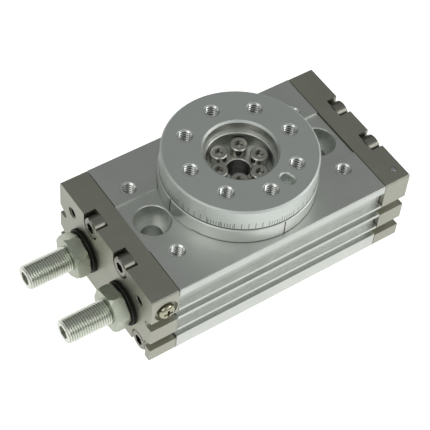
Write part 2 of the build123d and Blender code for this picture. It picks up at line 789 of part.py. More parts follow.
# Stroke adjusters: bolt, cushion pad, lock nut and seal washer on each cylinder axis
for name, side in sides.items():
    axis_y = side * cylinder_offset
    place = (axis_y, cylinder_height)
    with BuildPart() as bolt:
        with BuildSketch(Plane.YZ.offset(bolt_end)):
            with Locations(place):
                Circle(adjuster_thread / 2)
        extrude(amount=bolt_tip - bolt_end)
        chamfer(bolt.edges().filter_by(GeomType.CIRCLE), adjuster_chamfer)
        with BuildSketch(Plane.YZ.offset(bolt_end)):
            with Locations(place):
                RegularPolygon(adjuster_socket / 2, hexagon_sides, major_radius=False)
        extrude(amount=adjuster_socket_depth, mode=Mode.SUBTRACT)
        with BuildSketch(Plane.YZ.offset(bolt_tip)):
            with Locations(place):
                Circle(pad_diameter / 2)
        extrude(amount=-(pad_length - pad_stand), mode=Mode.SUBTRACT)
    save(bolt.part, name + "_adjuster_bolt")

    with BuildPart() as pad:
        with BuildSketch(Plane.YZ.offset(pad_tip)):
            with Locations(place):
                Circle(pad_diameter / 2 - running_fit)
        extrude(amount=-pad_length)
    save(pad.part, name + "_cushion_pad")

    washer_face = -half_length - washer_height
    step_face = washer_face - washer_step_height
    with BuildPart() as washer:
        with BuildSketch(Plane.YZ.offset(-half_length)):
            with Locations(place):
                Circle(washer_diameter / 2)
        extrude(amount=-washer_height)
        with BuildSketch(Plane.YZ.offset(washer_face)):
            with Locations(place):
                Circle(washer_step_diameter / 2)
        extrude(amount=-washer_step_height)
        with BuildSketch(Plane.YZ.offset(-half_length)):
            with Locations(place):
                Circle(adjuster_thread / 2 + running_fit)
        extrude(amount=step_face + half_length, mode=Mode.SUBTRACT)
    save(washer.part, name + "_seal_washer")

    nut_angle = near_nut_angle if side < 0 else far_nut_angle
    with BuildPart() as nut:
        with BuildSketch(Plane.YZ.offset(step_face)):
            with Locations(place):
                Circle(nut_corner)
        extrude(amount=-nut_height)
        corner_depth = nut_corner - nut_across_flats / 2 + nut_face_margin
        chamfer(nut.edges().filter_by(GeomType.CIRCLE), corner_depth, nut_corner_chamfer)
        with BuildSketch(Plane.YZ.offset(step_face)):
            with Locations(place):
                RegularPolygon(nut_across_flats / 2, hexagon_sides, major_radius=False, rotation=nut_angle)
        extrude(amount=-nut_height, mode=Mode.INTERSECT)
        with BuildSketch(Plane.YZ.offset(step_face)):
            with Locations(place):
                Circle(adjuster_thread / 2 + running_fit)
        extrude(amount=-nut_height, mode=Mode.SUBTRACT)
    save(nut.part, name + "_lock_nut")
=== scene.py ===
import json
import math

import bpy
from mathutils import Matrix, Vector


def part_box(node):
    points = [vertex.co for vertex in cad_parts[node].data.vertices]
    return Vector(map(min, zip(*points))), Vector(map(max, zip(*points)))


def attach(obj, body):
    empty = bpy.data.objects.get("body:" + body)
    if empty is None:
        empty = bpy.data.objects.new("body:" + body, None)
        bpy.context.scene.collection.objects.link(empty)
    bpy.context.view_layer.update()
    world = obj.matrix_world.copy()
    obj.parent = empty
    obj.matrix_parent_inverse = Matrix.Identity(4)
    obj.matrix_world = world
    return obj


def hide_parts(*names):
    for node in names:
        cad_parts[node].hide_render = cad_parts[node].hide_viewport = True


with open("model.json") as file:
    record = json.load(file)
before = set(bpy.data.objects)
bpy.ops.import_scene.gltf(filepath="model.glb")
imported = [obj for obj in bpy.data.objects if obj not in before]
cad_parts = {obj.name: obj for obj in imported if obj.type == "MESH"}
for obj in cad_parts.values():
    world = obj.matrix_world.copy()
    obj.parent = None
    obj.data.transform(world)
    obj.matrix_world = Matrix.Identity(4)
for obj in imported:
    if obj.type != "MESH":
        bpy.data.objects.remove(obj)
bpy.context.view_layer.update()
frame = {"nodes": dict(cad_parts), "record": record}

bl_info = {
    "name": "Pneumatic rotary table looks",
    "version": (1, 0, 0),
    "blender": (4, 5, 0),
    "location": "3D View > Sidebar > Rotary Table",
    "description": "Materials, threads, screw detail, light and camera for a pneumatic rotary table",
    "category": "Object",
}

MM = 0.001

# Places on the solids, in metres and radians

REST_ANGLE = math.radians(-3.5)
TABLE_HOLE_CIRCLE = 21.5 * MM
BODY_HOLE_X = 38.0 * MM
BODY_HOLE_Y = 17.0 * MM
PORT_Y = 23.5 * MM
PORT_Z = 28.5 * MM
TABLE_RADIUS = 30.0 * MM
TABLE_FLANK = 29.8 * MM
TABLE_RIM = 29.0 * MM
TABLE_FOOT = 44.4 * MM
POCKET_RADIUS = 14.75 * MM
POCKET_MOUTH = 53.1 * MM
INDEX_INNER = 30.0 * MM
INDEX_OUTER = 30.46 * MM
INDEX_TOP = 43.55 * MM
INDEX_STEP = math.pi / 2
INDEX_HALF_WIDTH = 0.012

# Thread ridges: whether a corner of the section lies on the crest, and its share of the pitch

RIDGE_SECTION = ((False, 0.06), (True, 0.44), (True, 0.56), (False, 0.94))
RIDGE_SINK = 0.02 * MM
HOLE_RIDGE_SHARE = 0.54
HOLE_RIDGE_STEPS = 24
HOLE_SETBACK = 0.15 * MM
ROD_RIDGE_STEPS = 40
ROD_RUN_IN = 1.3
ROD_EXTRA_TURNS = 3

# Side plugs

PLUG_HEAD_SHARE = 0.89
PLUG_HEAD_HEIGHT = 3.1 * MM
PLUG_SHANK_RADIUS = 2.5 * MM
PLUG_SHANK_LENGTH = 4.4 * MM
RECESS_TAPER = 0.55
FACING = 0.9

# Steel edge of the seal washers

WASHER_RING_RADIUS = 8.62 * MM
WASHER_WIRE_RADIUS = 0.12 * MM
WASHER_RING_SETBACK = 1.3 * MM

# Textures, the first three in features to a metre, and values that surfaces share

FINE_GRAIN = 4200.0
CLOUDS = 70.0
LINE_STRETCH = (12.0, 2600.0, 2600.0)
GRAIN_DEPTH = 0.02 * MM
POLISH_DEPTH = 0.001 * MM
SOFT_EDGE = 0.12 * MM
TURNING_SPACING = 0.25 * MM
RELIEF_STRENGTH = 0.35
ROUGHNESS_SPREAD = 0.06
# Painted shade in corners: the share of the colour left in the deepest corners, the fall-off power, and the
# reach and power of the painted shade in the gap under the table's rim
CORNER_SHADE_SHARE = 0.12
CORNER_SHADE_POWER = 1.6
GAP_SHADE = {"reach": 0.9 * MM, "power": 1.2}

# Stage: the camera as solved from the photograph, and the panels' name, place, size, power and colour

FLOOR_DEPTH = 0.02 * MM
SKY_RISE = (0.15, 0.75)
CAMERA_PLACE = (-228.42, -274.913, 464.081)
CAMERA_RIGHT = (0.82917, -0.55503, 0.06648)
CAMERA_DOWN = (-0.40259, -0.67543, -0.61783)
CAMERA_FORWARD = (0.38782, 0.48552, -0.7835)
PANEL_TARGET = (0, 0, 0.02)
PANELS = (
    ("key_panel", (-0.85, -0.25, 0.95), (0.8, 0.8), 2.1, (1.0, 1.0, 0.98)),
    ("front_panel", (-0.75, -0.95, 0.55), (1.7, 1.1), 1.5, (0.99, 1.0, 0.98)),
    ("right_panel", (0.35, -0.9, 0.7), (0.8, 0.6), 1.6, (0.99, 1.0, 0.98)),
    ("side_panel", (0.9, -0.5, 0.6), (0.4, 0.6), 2.5, (0.99, 1.0, 0.98)),
    ("back_panel", (-1.0, 0.6, 0.6), (0.8, 0.8), 0.8, (0.99, 1.0, 0.98)),
)


# Sizes and colours that the operators read

def length_setting(name, description, default):
    """Declare a length that a user may change, in metres."""
    return bpy.props.FloatProperty(name=name, description=description, default=default, unit="LENGTH")


def colour_setting(name, description, default):
    """Declare a colour that a user may change."""
    return bpy.props.FloatVectorProperty(
        name=name, description=description, default=default, size=3, min=0.0, max=1.0, subtype="COLOR")


class RotaryThreadSettings(bpy.types.PropertyGroup):
    """Sizes of the threads cut on the adjusters and in the holes."""

    adjuster_radius: length_setting("Adjuster radius", "Outside radius of the adjuster thread", 4.98 * MM)
    adjuster_pitch: length_setting("Adjuster pitch", "Pitch of the adjuster thread", 1.0 * MM)
    thread_depth: bpy.props.FloatProperty(
        name="Thread depth", description="Depth of a thread as a share of its pitch",
        default=0.6, subtype="FACTOR")
    end_chamfer: length_setting("End chamfer", "Chamfer at the end of an adjuster", 0.7 * MM)
    socket_radius: length_setting(
        "Socket radius", "Corner radius of the adjuster's hexagon socket", 2.887 * MM)
    socket_depth: length_setting("Socket depth", "Depth of the adjuster's hexagon socket", 5.0 * MM)
    hole_radius: length_setting("Hole radius", "Wall radius of the large threaded holes", 2.99 * MM)
    hole_pitch: length_setting(
        "Hole pitch", "Thread pitch of the large threaded holes, as the photograph shows it", 1.2 * MM)
    port_radius: length_setting("Port radius", "Wall radius of the threaded ports", 2.49 * MM)
    port_pitch: length_setting("Port pitch", "Thread pitch of the ports", 0.8 * MM)


class RotaryPlugSettings(bpy.types.PropertyGroup):
    """Sizes of the cross-recessed plugs in the side ports."""

    crown: length_setting("Crown", "Rounding of the plug's head", 1.7 * MM)
    arm_width: length_setting("Arm width", "Width of one arm of the cross recess", 1.25 * MM)
    arm_length: length_setting("Arm length", "Length across the cross recess", 4.9 * MM)
    recess_depth: length_setting("Recess depth", "Depth of the cross recess", 1.6 * MM)


class RotaryScaleSettings(bpy.types.PropertyGroup):
    """Layout of the graduations round the table."""

    zero_angle: bpy.props.FloatProperty(
        name="Zero angle", description="Angle of the first graduated zone",
        default=math.radians(-2.6), subtype="ANGLE")
    line_width: length_setting("Line width", "Width of one graduation line", 0.2 * MM)
    fine_height: length_setting(
        "Fine line height", "Top of the close lines above the table's foot", 2.5 * MM)
    single_height: length_setting(
        "Single line height", "Top of the single lines above the table's foot", 3.1 * MM)
    foot_gap: length_setting(
        "Foot gap", "Distance from the table's foot to the start of the lines", 0.15 * MM)


class RotaryColourSettings(bpy.types.PropertyGroup):
    """Base colours of the finishes."""

    body: colour_setting("Body", "Satin anodised body", (0.74, 0.76, 0.73))
    cover: colour_setting("Cover", "Darker anodised covers", (0.48, 0.48, 0.415))
    table_dark: colour_setting("Table, dark", "Darker clouds of the satin table", (0.73, 0.765, 0.74))
    table_light: colour_setting("Table, light", "Lighter clouds of the satin table", (0.80, 0.835, 0.81))
    pocket_dark: colour_setting("Pocket, dark", "Darker turning marks of the pocket", (0.57, 0.58, 0.55))
    pocket_light: colour_setting("Pocket, light", "Lighter turning marks of the pocket", (0.69, 0.70, 0.67))
    retainer_dark: colour_setting("Retainer, dark", "Darker clouds of the retainer", (0.73, 0.75, 0.72))
    retainer_light: colour_setting("Retainer, light", "Lighter clouds of the retainer", (0.80, 0.82, 0.79))
    gap: colour_setting("Gap", "Shade in the gap under the table's rim", (0.05, 0.05, 0.05))
    graduation: colour_setting("Graduation", "Filling of the graduation lines", (0.03, 0.03, 0.03))
    index_mark: colour_setting("Index mark", "Filling of the index marks", (0.02, 0.02, 0.02))
    gasket: colour_setting("Gasket", "Gaskets behind the covers", (0.03, 0.03, 0.03))
    rubber: colour_setting("Rubber", "Seal washers", (0.008, 0.008, 0.006))
    pad: colour_setting("Pad", "Cushion pads", (0.30, 0.14, 0.05))
    screws: colour_setting("Screws", "Steel of the cover screws", (0.36, 0.35, 0.31))
    stainless: colour_setting("Stainless", "Screws in the table's pocket", (0.52, 0.52, 0.48))
    nickel: colour_setting("Nickel", "Plating of the side plugs", (0.50, 0.48, 0.36))
    steel: colour_setting("Bearing steel", "Rings and balls", (0.60, 0.60, 0.60))
    gear_steel: colour_setting("Gear steel", "Pinion shaft", (0.48, 0.48, 0.47))
    piston: colour_setting("Piston", "Rack pistons", (0.56, 0.57, 0.58))
    cage: colour_setting("Cage", "Resin of the ball cages", (0.72, 0.68, 0.55))
    magnet: colour_setting("Magnet", "Magnets in the pistons", (0.16, 0.16, 0.17))
    zinc: colour_setting("Zinc", "Plating of the lock nuts", (0.60, 0.64, 0.54))
    zinc_thread: colour_setting("Zinc thread", "Plating of the adjusters", (0.90, 0.93, 0.85))
    # The port threads are darker than the cover they are cut in, as painted shade inside the ports
    port_thread: colour_setting("Port thread", "Threads in the ports", (0.30, 0.30, 0.26))
    # The hole threads are lighter than the body and table they are cut in, as a painted highlight on the
    # ridges
    cut_thread: colour_setting("Cut thread", "Threads in the large holes", (0.92, 0.94, 0.91))
    washer_edge: colour_setting("Washer edge", "Steel edge of the seal washers", (0.16, 0.16, 0.14))
    paper: colour_setting("Paper", "Floor under the table", (0.86, 0.86, 0.85))
    sky: colour_setting("Sky", "Tint of the surroundings", (0.97, 1.0, 0.97))


class RotaryStageSettings(bpy.types.PropertyGroup):
    """Floor, light and camera."""

    floor_size: length_setting("Floor size", "Side length of the floor", 6.0)
    sky_low: bpy.props.FloatProperty(
        name="Sky near the horizon", description="Brightness of the surroundings near the horizon",
        default=0.06)
    sky_high: bpy.props.FloatProperty(
        name="Sky overhead", description="Brightness of the surroundings overhead",
        default=0.26)
    floor_glow: bpy.props.FloatProperty(
        name="Floor glow", description="Light that the paper floor gives off",
        default=0.48)
    floor_white: bpy.props.FloatProperty(
        name="Floor white", description="Brightness that the camera sees beyond the floor's glow",
        default=0.45)
    focal_length: bpy.props.FloatProperty(
        name="Focal length", description="Focal length of the camera in millimetres",
        default=122.845)


# Small helpers for modelling

def clear_selection():
    """Leave edit mode and deselect everything."""
    if bpy.context.object is not None and bpy.context.object.mode != "OBJECT":
        bpy.ops.object.mode_set(mode="OBJECT")
    bpy.ops.object.select_all(action="DESELECT")


def pick(piece):
    """Make one piece the only selected one."""
    clear_selection()
    piece.select_set(True)
    bpy.context.view_layer.objects.active = piece


def named(piece, name):
    """Name an object and its data."""
    piece.name = name
    piece.data.name = name
    return piece


def settle(piece):
    """Put the piece's place into its mesh."""
    pick(piece)
    bpy.ops.object.transform_apply(location=True, rotation=True, scale=True)


def join(pieces, name):
    """Join pieces into one."""
    clear_selection()
    for piece in pieces:
        piece.select_set(True)
    bpy.context.view_layer.objects.active = pieces[0]
    bpy.ops.object.join()
    return named(bpy.context.object, name)


def apply_modifier(piece, kind, **values):
    """Add a modifier with its values and apply it."""
    pick(piece)
    modifier = piece.modifiers.new(kind.title(), kind)
    for name, value in values.items():
        setattr(modifier, name, value)
    bpy.ops.object.modifier_apply(modifier=modifier.name)


def cut(piece, tool, operation="DIFFERENCE"):
    """Combine a piece with a tool shape and remove the tool."""
    apply_modifier(piece, "BOOLEAN", operation=operation, solver="EXACT", object=tool)
    pick(tool)
    bpy.ops.object.delete()
    pick(piece)


def select_faces(piece, test):
    """Go into edit mode with the faces selected that pass a test on their centre and normal."""
    pick(piece)
    bpy.ops.object.mode_set(mode="EDIT")
    bpy.ops.mesh.select_mode(type="FACE")
    bpy.ops.mesh.select_all(action="DESELECT")
    bpy.ops.object.mode_set(mode="OBJECT")
    chosen = 0
    for face in piece.data.polygons:
        face.select = bool(test(face.center, face.normal))
        chosen += face.select
    if not chosen:
        raise RuntimeError("no face of " + piece.name + " fits the test")
    bpy.ops.object.mode_set(mode="EDIT")


def to_object_mode():
    """Leave edit mode."""
    bpy.ops.object.mode_set(mode="OBJECT")


def wire(points):
    """Draw an open wire through points in edit mode, starting from a plane shrunk to one vertex."""
    clear_selection()
    bpy.ops.mesh.primitive_plane_add(size=1.0)
    piece = bpy.context.object
    bpy.ops.object.mode_set(mode="EDIT")
    bpy.ops.mesh.select_all(action="SELECT")
    bpy.ops.mesh.merge(type="CENTER")
    bpy.ops.mesh.select_mode(type="VERT")
    bpy.ops.transform.translate(value=Vector(points[0]))
    here = Vector(points[0])
    for point in points[1:]:
        step = Vector(point) - here
        bpy.ops.mesh.extrude_region_move(TRANSFORM_OT_translate={"value": step})
        here = Vector(point)
    to_object_mode()
    return piece


def face_out(piece):
    """Point the faces of a closed piece outwards."""
    pick(piece)
    bpy.ops.object.mode_set(mode="EDIT")
    bpy.ops.mesh.select_all(action="SELECT")
    bpy.ops.mesh.normals_make_consistent(inside=False)
    to_object_mode()
    volume = sum(face.center.dot(face.normal) * face.area for face in piece.data.polygons)
    if volume < 0:
        bpy.ops.object.mode_set(mode="EDIT")
        bpy.ops.mesh.flip_normals()
        to_object_mode()


def thread_ridge(base, crest, pitch, turns, steps):
    """Turn one closed thread ridge round the Z axis, right-handed, upwards from Z 0."""
    section = [(crest if on_crest else base, 0, share * pitch) for on_crest, share in RIDGE_SECTION]
    ridge = wire(section + section[:1])
    bpy.ops.object.mode_set(mode="EDIT")
    bpy.ops.mesh.select_all(action="SELECT")
    bpy.ops.mesh.remove_doubles(threshold=0.001 * pitch)
    to_object_mode()
    apply_modifier(
        ridge, "SCREW", axis="Z", screw_offset=pitch, iterations=turns, steps=steps,
        render_steps=steps, use_merge_vertices=False,
    )
    bpy.ops.object.mode_set(mode="EDIT")
    bpy.ops.mesh.select_all(action="SELECT")
    bpy.ops.mesh.fill_holes(sides=0)
    to_object_mode()
    face_out(ridge)
    return ridge


def trim(piece, radius, low, high):
    """Keep what lies between two heights on the Z axis, with flat closed cuts."""
    clear_selection()
    bpy.ops.mesh.primitive_cylinder_add(
        vertices=32, radius=radius, depth=high - low, location=(0, 0, (low + high) / 2))
    keeper = bpy.context.object
    settle(keeper)
    cut(piece, keeper, "INTERSECT")


def smooth(piece, angle):
    """Shade a piece smooth up to an angle in degrees."""
    pick(piece)
    bpy.ops.object.shade_smooth_by_angle(angle=math.radians(angle))


def give(piece, material, body):
    """Finish a new piece: its place, material and body."""
    settle(piece)
    piece.data.materials.clear()
    piece.data.materials.append(material)
    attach(piece, body)


# Shader building

def shader_node(tree, kind, place, **values):
    """Add a node and set its inputs by name, or its properties."""
    made = tree.nodes.new(kind)
    made.location = place
    for name, value in values.items():
        label = name.replace("_", " ").title()
        if label in made.inputs:
            made.inputs[label].default_value = value
        else:
            setattr(made, name, value)
    return made


def opaque(colour, share=1.0):
    """Scale a colour's parts, up to white, and add an alpha of 1."""
    return (*(min(part * share, 1.0) for part in colour), 1.0)


def maths(tree, operation, place, *values):
    """Add a maths node fed by sockets or numbers."""
    made = tree.nodes.new("ShaderNodeMath")
    made.operation = operation
    made.location = place
    for index, value in enumerate(values):
        if isinstance(value, (int, float)):
            made.inputs[index].default_value = value
        else:
            tree.links.new(value, made.inputs[index])
    return made.outputs[0]


def new_group(name, inputs, outputs):
    """Start a node group with its sockets."""
    group = bpy.data.node_groups.new(name, "ShaderNodeTree")
    for label, kind, default in inputs:
        socket = group.interface.new_socket(label, in_out="INPUT", socket_type=kind)
        if default is not None:
            socket.default_value = default
    for label, kind in outputs:
        group.interface.new_socket(label, in_out="OUTPUT", socket_type=kind)
    start = group.nodes.new("NodeGroupInput")
    start.location = (-900, 0)
    end = group.nodes.new("NodeGroupOutput")
    end.location = (900, 0)
    return group, start, end


def grain_group():
    """Blasted and anodised surface: fine speckle, soft cloudiness and a bump height."""
    group, start, end = new_group(
        "satin_grain",
        [("Vector", "NodeSocketVector", None), ("Scale", "NodeSocketFloat", 1.0)],
        [("Speckle", "NodeSocketFloat"), ("Cloud", "NodeSocketFloat"), ("Height", "NodeSocketFloat")],
    )
    links = group.links
    fine = shader_node(group, "ShaderNodeTexNoise", (-400, 200), detail=2.0, roughness=0.6)
    coarse = shader_node(group, "ShaderNodeTexNoise", (-400, -200), detail=3.0, roughness=0.55)
    fine_scale = maths(group, "MULTIPLY", (-650, 150), start.outputs["Scale"], FINE_GRAIN)
    coarse_scale = maths(group, "MULTIPLY", (-650, -250), start.outputs["Scale"], CLOUDS)
    links.new(start.outputs["Vector"], fine.inputs["Vector"])
    links.new(start.outputs["Vector"], coarse.inputs["Vector"])
    links.new(fine_scale, fine.inputs["Scale"])
    links.new(coarse_scale, coarse.inputs["Scale"])
    links.new(fine.outputs["Fac"], end.inputs["Speckle"])
    links.new(coarse.outputs["Fac"], end.inputs["Cloud"])
    links.new(fine.outputs["Fac"], end.inputs["Height"])
    return group


def lines_group():
    """Drawing lines that run along X."""
    group, start, end = new_group(
        "drawn_lines",
        [("Vector", "NodeSocketVector", None)],
        [("Lines", "NodeSocketFloat")],
    )
    stretch = shader_node(group, "ShaderNodeMapping", (-400, 0))
    stretch.inputs["Scale"].default_value = LINE_STRETCH
    noise = shader_node(group, "ShaderNodeTexNoise", (0, 0), scale=1.0, detail=3.0, roughness=0.7)
    group.links.new(start.outputs["Vector"], stretch.inputs["Vector"])
    group.links.new(stretch.outputs["Vector"], noise.inputs["Vector"])
    group.links.new(noise.outputs["Fac"], end.inputs["Lines"])
    return group


def turning_group():
    """Turning marks round the Z axis, with the radius and angle of the point."""
    group, start, end = new_group(
        "turning_marks",
        [("Vector", "NodeSocketVector", None), ("Spacing", "NodeSocketFloat", TURNING_SPACING)],
        [("Marks", "NodeSocketFloat"), ("Radius", "NodeSocketFloat"), ("Angle", "NodeSocketFloat"),
         ("Height", "NodeSocketFloat")],
    )
    links = group.links
    parts = shader_node(group, "ShaderNodeSeparateXYZ", (-700, 0))
    links.new(start.outputs["Vector"], parts.inputs["Vector"])
    x, y, z = parts.outputs["X"], parts.outputs["Y"], parts.outputs["Z"]
    square_x = maths(group, "MULTIPLY", (-500, 200), x, x)
    square_y = maths(group, "MULTIPLY", (-500, 50), y, y)
    total = maths(group, "ADD", (-300, 100), square_x, square_y)
    radius = maths(group, "SQRT", (-100, 100), total)
    angle = maths(group, "ARCTAN2", (-300, -150), y, x)
    along = maths(group, "ADD", (100, 0), radius, z)
    turns = maths(group, "DIVIDE", (250, 0), along, start.outputs["Spacing"])
    noise = shader_node(group, "ShaderNodeTexNoise", (450, 0), noise_dimensions="1D", scale=1.0,
                        detail=2.0, roughness=0.8)
    links.new(turns, noise.inputs["W"])
    links.new(noise.outputs["Fac"], end.inputs["Marks"])
    links.new(radius, end.inputs["Radius"])
    links.new(angle, end.inputs["Angle"])
    links.new(z, end.inputs["Height"])
    return group


def graduation_group(settings):
    """Lines of the table's scale: single lines 5 degrees apart, and zones of lines 2 degrees apart."""
    zone_step, zone_reach = 45.0, 10.3
    fine_step, single_step, beside_single = 2.0, 5.0, 1.5
    group, start, end = new_group(
        "graduation_lines",
        [("Angle", "NodeSocketFloat", None), ("Radius", "NodeSocketFloat", None),
         ("Height", "NodeSocketFloat", None)],
        [("Mask", "NodeSocketFloat")],
    )
    links = group.links
    angle, radius, height = (start.outputs[label] for label in ("Angle", "Radius", "Height"))
    degrees = maths(group, "MULTIPLY", (-800, 0), angle, math.degrees(1.0))
    turned = maths(group, "SUBTRACT", (-650, 0), degrees, math.degrees(settings.zero_angle))
    half_line = math.degrees(settings.line_width / 2 / TABLE_RADIUS)

    def nearest(step, place):
        wrapped = maths(group, "WRAP", place, turned, step / 2, -step / 2)
        return maths(group, "ABSOLUTE", (place[0] + 150, place[1]), wrapped)

    def near_line(step, place):
        return maths(group, "LESS_THAN", (place[0] + 300, place[1]), nearest(step, place), half_line)

    from_zone = nearest(zone_step, (-500, 300))
    in_zone = maths(group, "LESS_THAN", (-100, 300), from_zone, zone_reach)
    fine = maths(group, "MULTIPLY", (100, 250), near_line(fine_step, (-500, 100)), in_zone)
    off_single = maths(group, "SUBTRACT", (-100, 450), from_zone, single_step)
    between = maths(
        group, "LESS_THAN", (100, 450), maths(group, "ABSOLUTE", (0, 450), off_single), beside_single)
    free = maths(group, "SUBTRACT", (250, 450), 1.0, between)
    single = maths(group, "MULTIPLY", (0, -100), near_line(single_step, (-500, -100)), free)
    fine_top = maths(group, "LESS_THAN", (100, 50), height, TABLE_FOOT + settings.fine_height)
    single_top = maths(group, "LESS_THAN", (100, -100), height, TABLE_FOOT + settings.single_height)
    foot = maths(group, "GREATER_THAN", (100, -250), height, TABLE_FOOT + settings.foot_gap)
    flank = maths(group, "GREATER_THAN", (100, -400), radius, TABLE_FLANK)
    fine = maths(group, "MULTIPLY", (300, 200), fine, fine_top)
    single = maths(group, "MULTIPLY", (300, 0), single, single_top)
    both = maths(group, "MAXIMUM", (450, 100), fine, single)
    both = maths(group, "MULTIPLY", (600, 50), both, foot)
    both = maths(group, "MULTIPLY", (750, 0), both, flank)
    links.new(both, end.inputs["Mask"])
    return group


def corner_group():
    """Paint shade into a colour where another surface is nearer than the reach."""
    group, start, end = new_group(
        "painted_corner_shade",
        [("Colour", "NodeSocketColor", None), ("Deep", "NodeSocketColor", (0.05, 0.05, 0.05, 1)),
         ("Reach", "NodeSocketFloat", 1.0 * MM), ("Power", "NodeSocketFloat", CORNER_SHADE_POWER)],
        [("Colour", "NodeSocketColor")],
    )
    near = shader_node(group, "ShaderNodeAmbientOcclusion", (-400, 200), samples=6)
    group.links.new(start.outputs["Reach"], near.inputs["Distance"])
    open_share = maths(group, "POWER", (-100, 200), near.outputs["AO"], start.outputs["Power"])
    mixed = blend_colours(group, (300, 0), open_share, start.outputs["Deep"], start.outputs["Colour"])
    group.links.new(mixed, end.inputs["Colour"])
    return group


def relief_group():
    """Turn a height into a normal, over softly rounded edges."""
    group, start, end = new_group(
        "soft_relief",
        [("Height", "NodeSocketFloat", None), ("Depth", "NodeSocketFloat", GRAIN_DEPTH),
         ("Strength", "NodeSocketFloat", RELIEF_STRENGTH), ("Edge", "NodeSocketFloat", SOFT_EDGE)],
        [("Normal", "NodeSocketVector")],
    )
    links = group.links
    rounding = shader_node(group, "ShaderNodeBevel", (-300, -200), samples=4)
    bump = shader_node(group, "ShaderNodeBump", (200, 0))
    links.new(start.outputs["Edge"], rounding.inputs["Radius"])
    links.new(start.outputs["Height"], bump.inputs["Height"])
    links.new(start.outputs["Depth"], bump.inputs["Distance"])
    links.new(start.outputs["Strength"], bump.inputs["Strength"])
    links.new(rounding.outputs["Normal"], bump.inputs["Normal"])
    links.new(bump.outputs["Normal"], end.inputs["Normal"])
    return group


def start_material(name):
    """Start a material with its coordinates, shader and output."""
    material = bpy.data.materials.new(name)
    material.use_nodes = True
    tree = material.node_tree
    tree.nodes.clear()
    coordinates = shader_node(tree, "ShaderNodeTexCoord", (-1500, 0))
    shader = shader_node(tree, "ShaderNodeBsdfPrincipled", (400, 0))
    output = shader_node(tree, "ShaderNodeOutputMaterial", (700, 0))
    tree.links.new(shader.outputs["BSDF"], output.inputs["Surface"])
    return material, tree, coordinates.outputs["Object"], shader


def use_group(tree, group, place, **values):
    """Place a node group in a material."""
    made = tree.nodes.new("ShaderNodeGroup")
    made.node_tree = group
    made.location = place
    for name, value in values.items():
        made.inputs[name.title()].default_value = value
    return made


def blend_colours(tree, place, factor, first, second):
    """Mix two colours, given as sockets or values."""
    made = tree.nodes.new("ShaderNodeMix")
    made.data_type = "RGBA"
    made.location = place
    for socket, value in ((made.inputs[0], factor), (made.inputs[6], first), (made.inputs[7], second)):
        if isinstance(value, bpy.types.NodeSocket):
            tree.links.new(value, socket)
        else:
            socket.default_value = value
    return made.outputs[2]


def spread(tree, place, value, low, high):
    """Map a 0 to 1 value to a range."""
    made = tree.nodes.new("ShaderNodeMapRange")
    made.location = place
    tree.links.new(value, made.inputs["Value"])
    made.inputs["To Min"].default_value = low
    made.inputs["To Max"].default_value = high
    return made.outputs["Result"]


def add_relief(tree, groups, shader, height, edge, depth=GRAIN_DEPTH, strength=RELIEF_STRENGTH):
    """Feed the relief of a height into the shader's normal."""
    relief = use_group(
        tree, groups["relief"], (100, -400), depth=depth, strength=strength, edge=edge)
    tree.links.new(height, relief.inputs["Height"])
    tree.links.new(relief.outputs["Normal"], shader.inputs["Normal"])


def darken_corners(tree, groups, colour, **values):
    """Lay the painted corner shade over a colour."""
    shade_reach = use_group(tree, groups["corners"], (-150, 350), **values)
    tree.links.new(colour, shade_reach.inputs["Colour"])
    return shade_reach.outputs["Colour"]


def metal(name, colour, roughness, groups, scale=1.0, lines=False, depth=GRAIN_DEPTH, metallic=1.0,
          tint=0.10, edge=SOFT_EDGE, specular=0.5, shade_reach=0.0, shade_power=CORNER_SHADE_POWER):
    """Build a grained metal or moulded surface, with painted shade in corners no wider than its reach."""
    material, tree, vector, shader = start_material(name)
    grain_node = use_group(tree, groups["grain"], (-1200, 100), scale=scale)
    tree.links.new(vector, grain_node.inputs["Vector"])
    dark = opaque(colour, 1.0 - tint)
    light = opaque(colour, 1.0 + tint)
    mixed = blend_colours(tree, (-600, 200), grain_node.outputs["Cloud"], dark, light)
    height = grain_node.outputs["Height"]
    if lines:
        line_node = use_group(tree, groups["lines"], (-1200, -200))
        tree.links.new(vector, line_node.inputs["Vector"])
        height = maths(tree, "ADD", (-600, -300), height, line_node.outputs["Lines"])
        shade = spread(tree, (-800, -100), line_node.outputs["Lines"], 0.0, 0.2)
        mixed = blend_colours(tree, (-350, 200), shade, mixed, dark)
    # Painted shade in corners and recesses, within the given reach
    if shade_reach:
        mixed = darken_corners(
            tree, groups, mixed, deep=opaque(colour, CORNER_SHADE_SHARE), reach=shade_reach, power=shade_power)
    speckle = spread(
        tree, (-600, 0), grain_node.outputs["Speckle"],
        roughness - ROUGHNESS_SPREAD, roughness + ROUGHNESS_SPREAD)
    tree.links.new(mixed, shader.inputs["Base Color"])
    tree.links.new(speckle, shader.inputs["Roughness"])
    shader.inputs["Metallic"].default_value = metallic
    shader.inputs["Specular IOR Level"].default_value = specular
    add_relief(tree, groups, shader, height, edge, depth)
    return material


def start_turned_material(name, groups):
    """Start a material with its grain and the turning marks round Z."""
    material, tree, vector, shader = start_material(name)
    grain_node = use_group(tree, groups["grain"], (-1200, 200))
    turning = use_group(tree, groups["turning"], (-1200, -200))
    tree.links.new(vector, grain_node.inputs["Vector"])
    tree.links.new(vector, turning.inputs["Vector"])
    return material, tree, shader, grain_node.outputs, turning.outputs


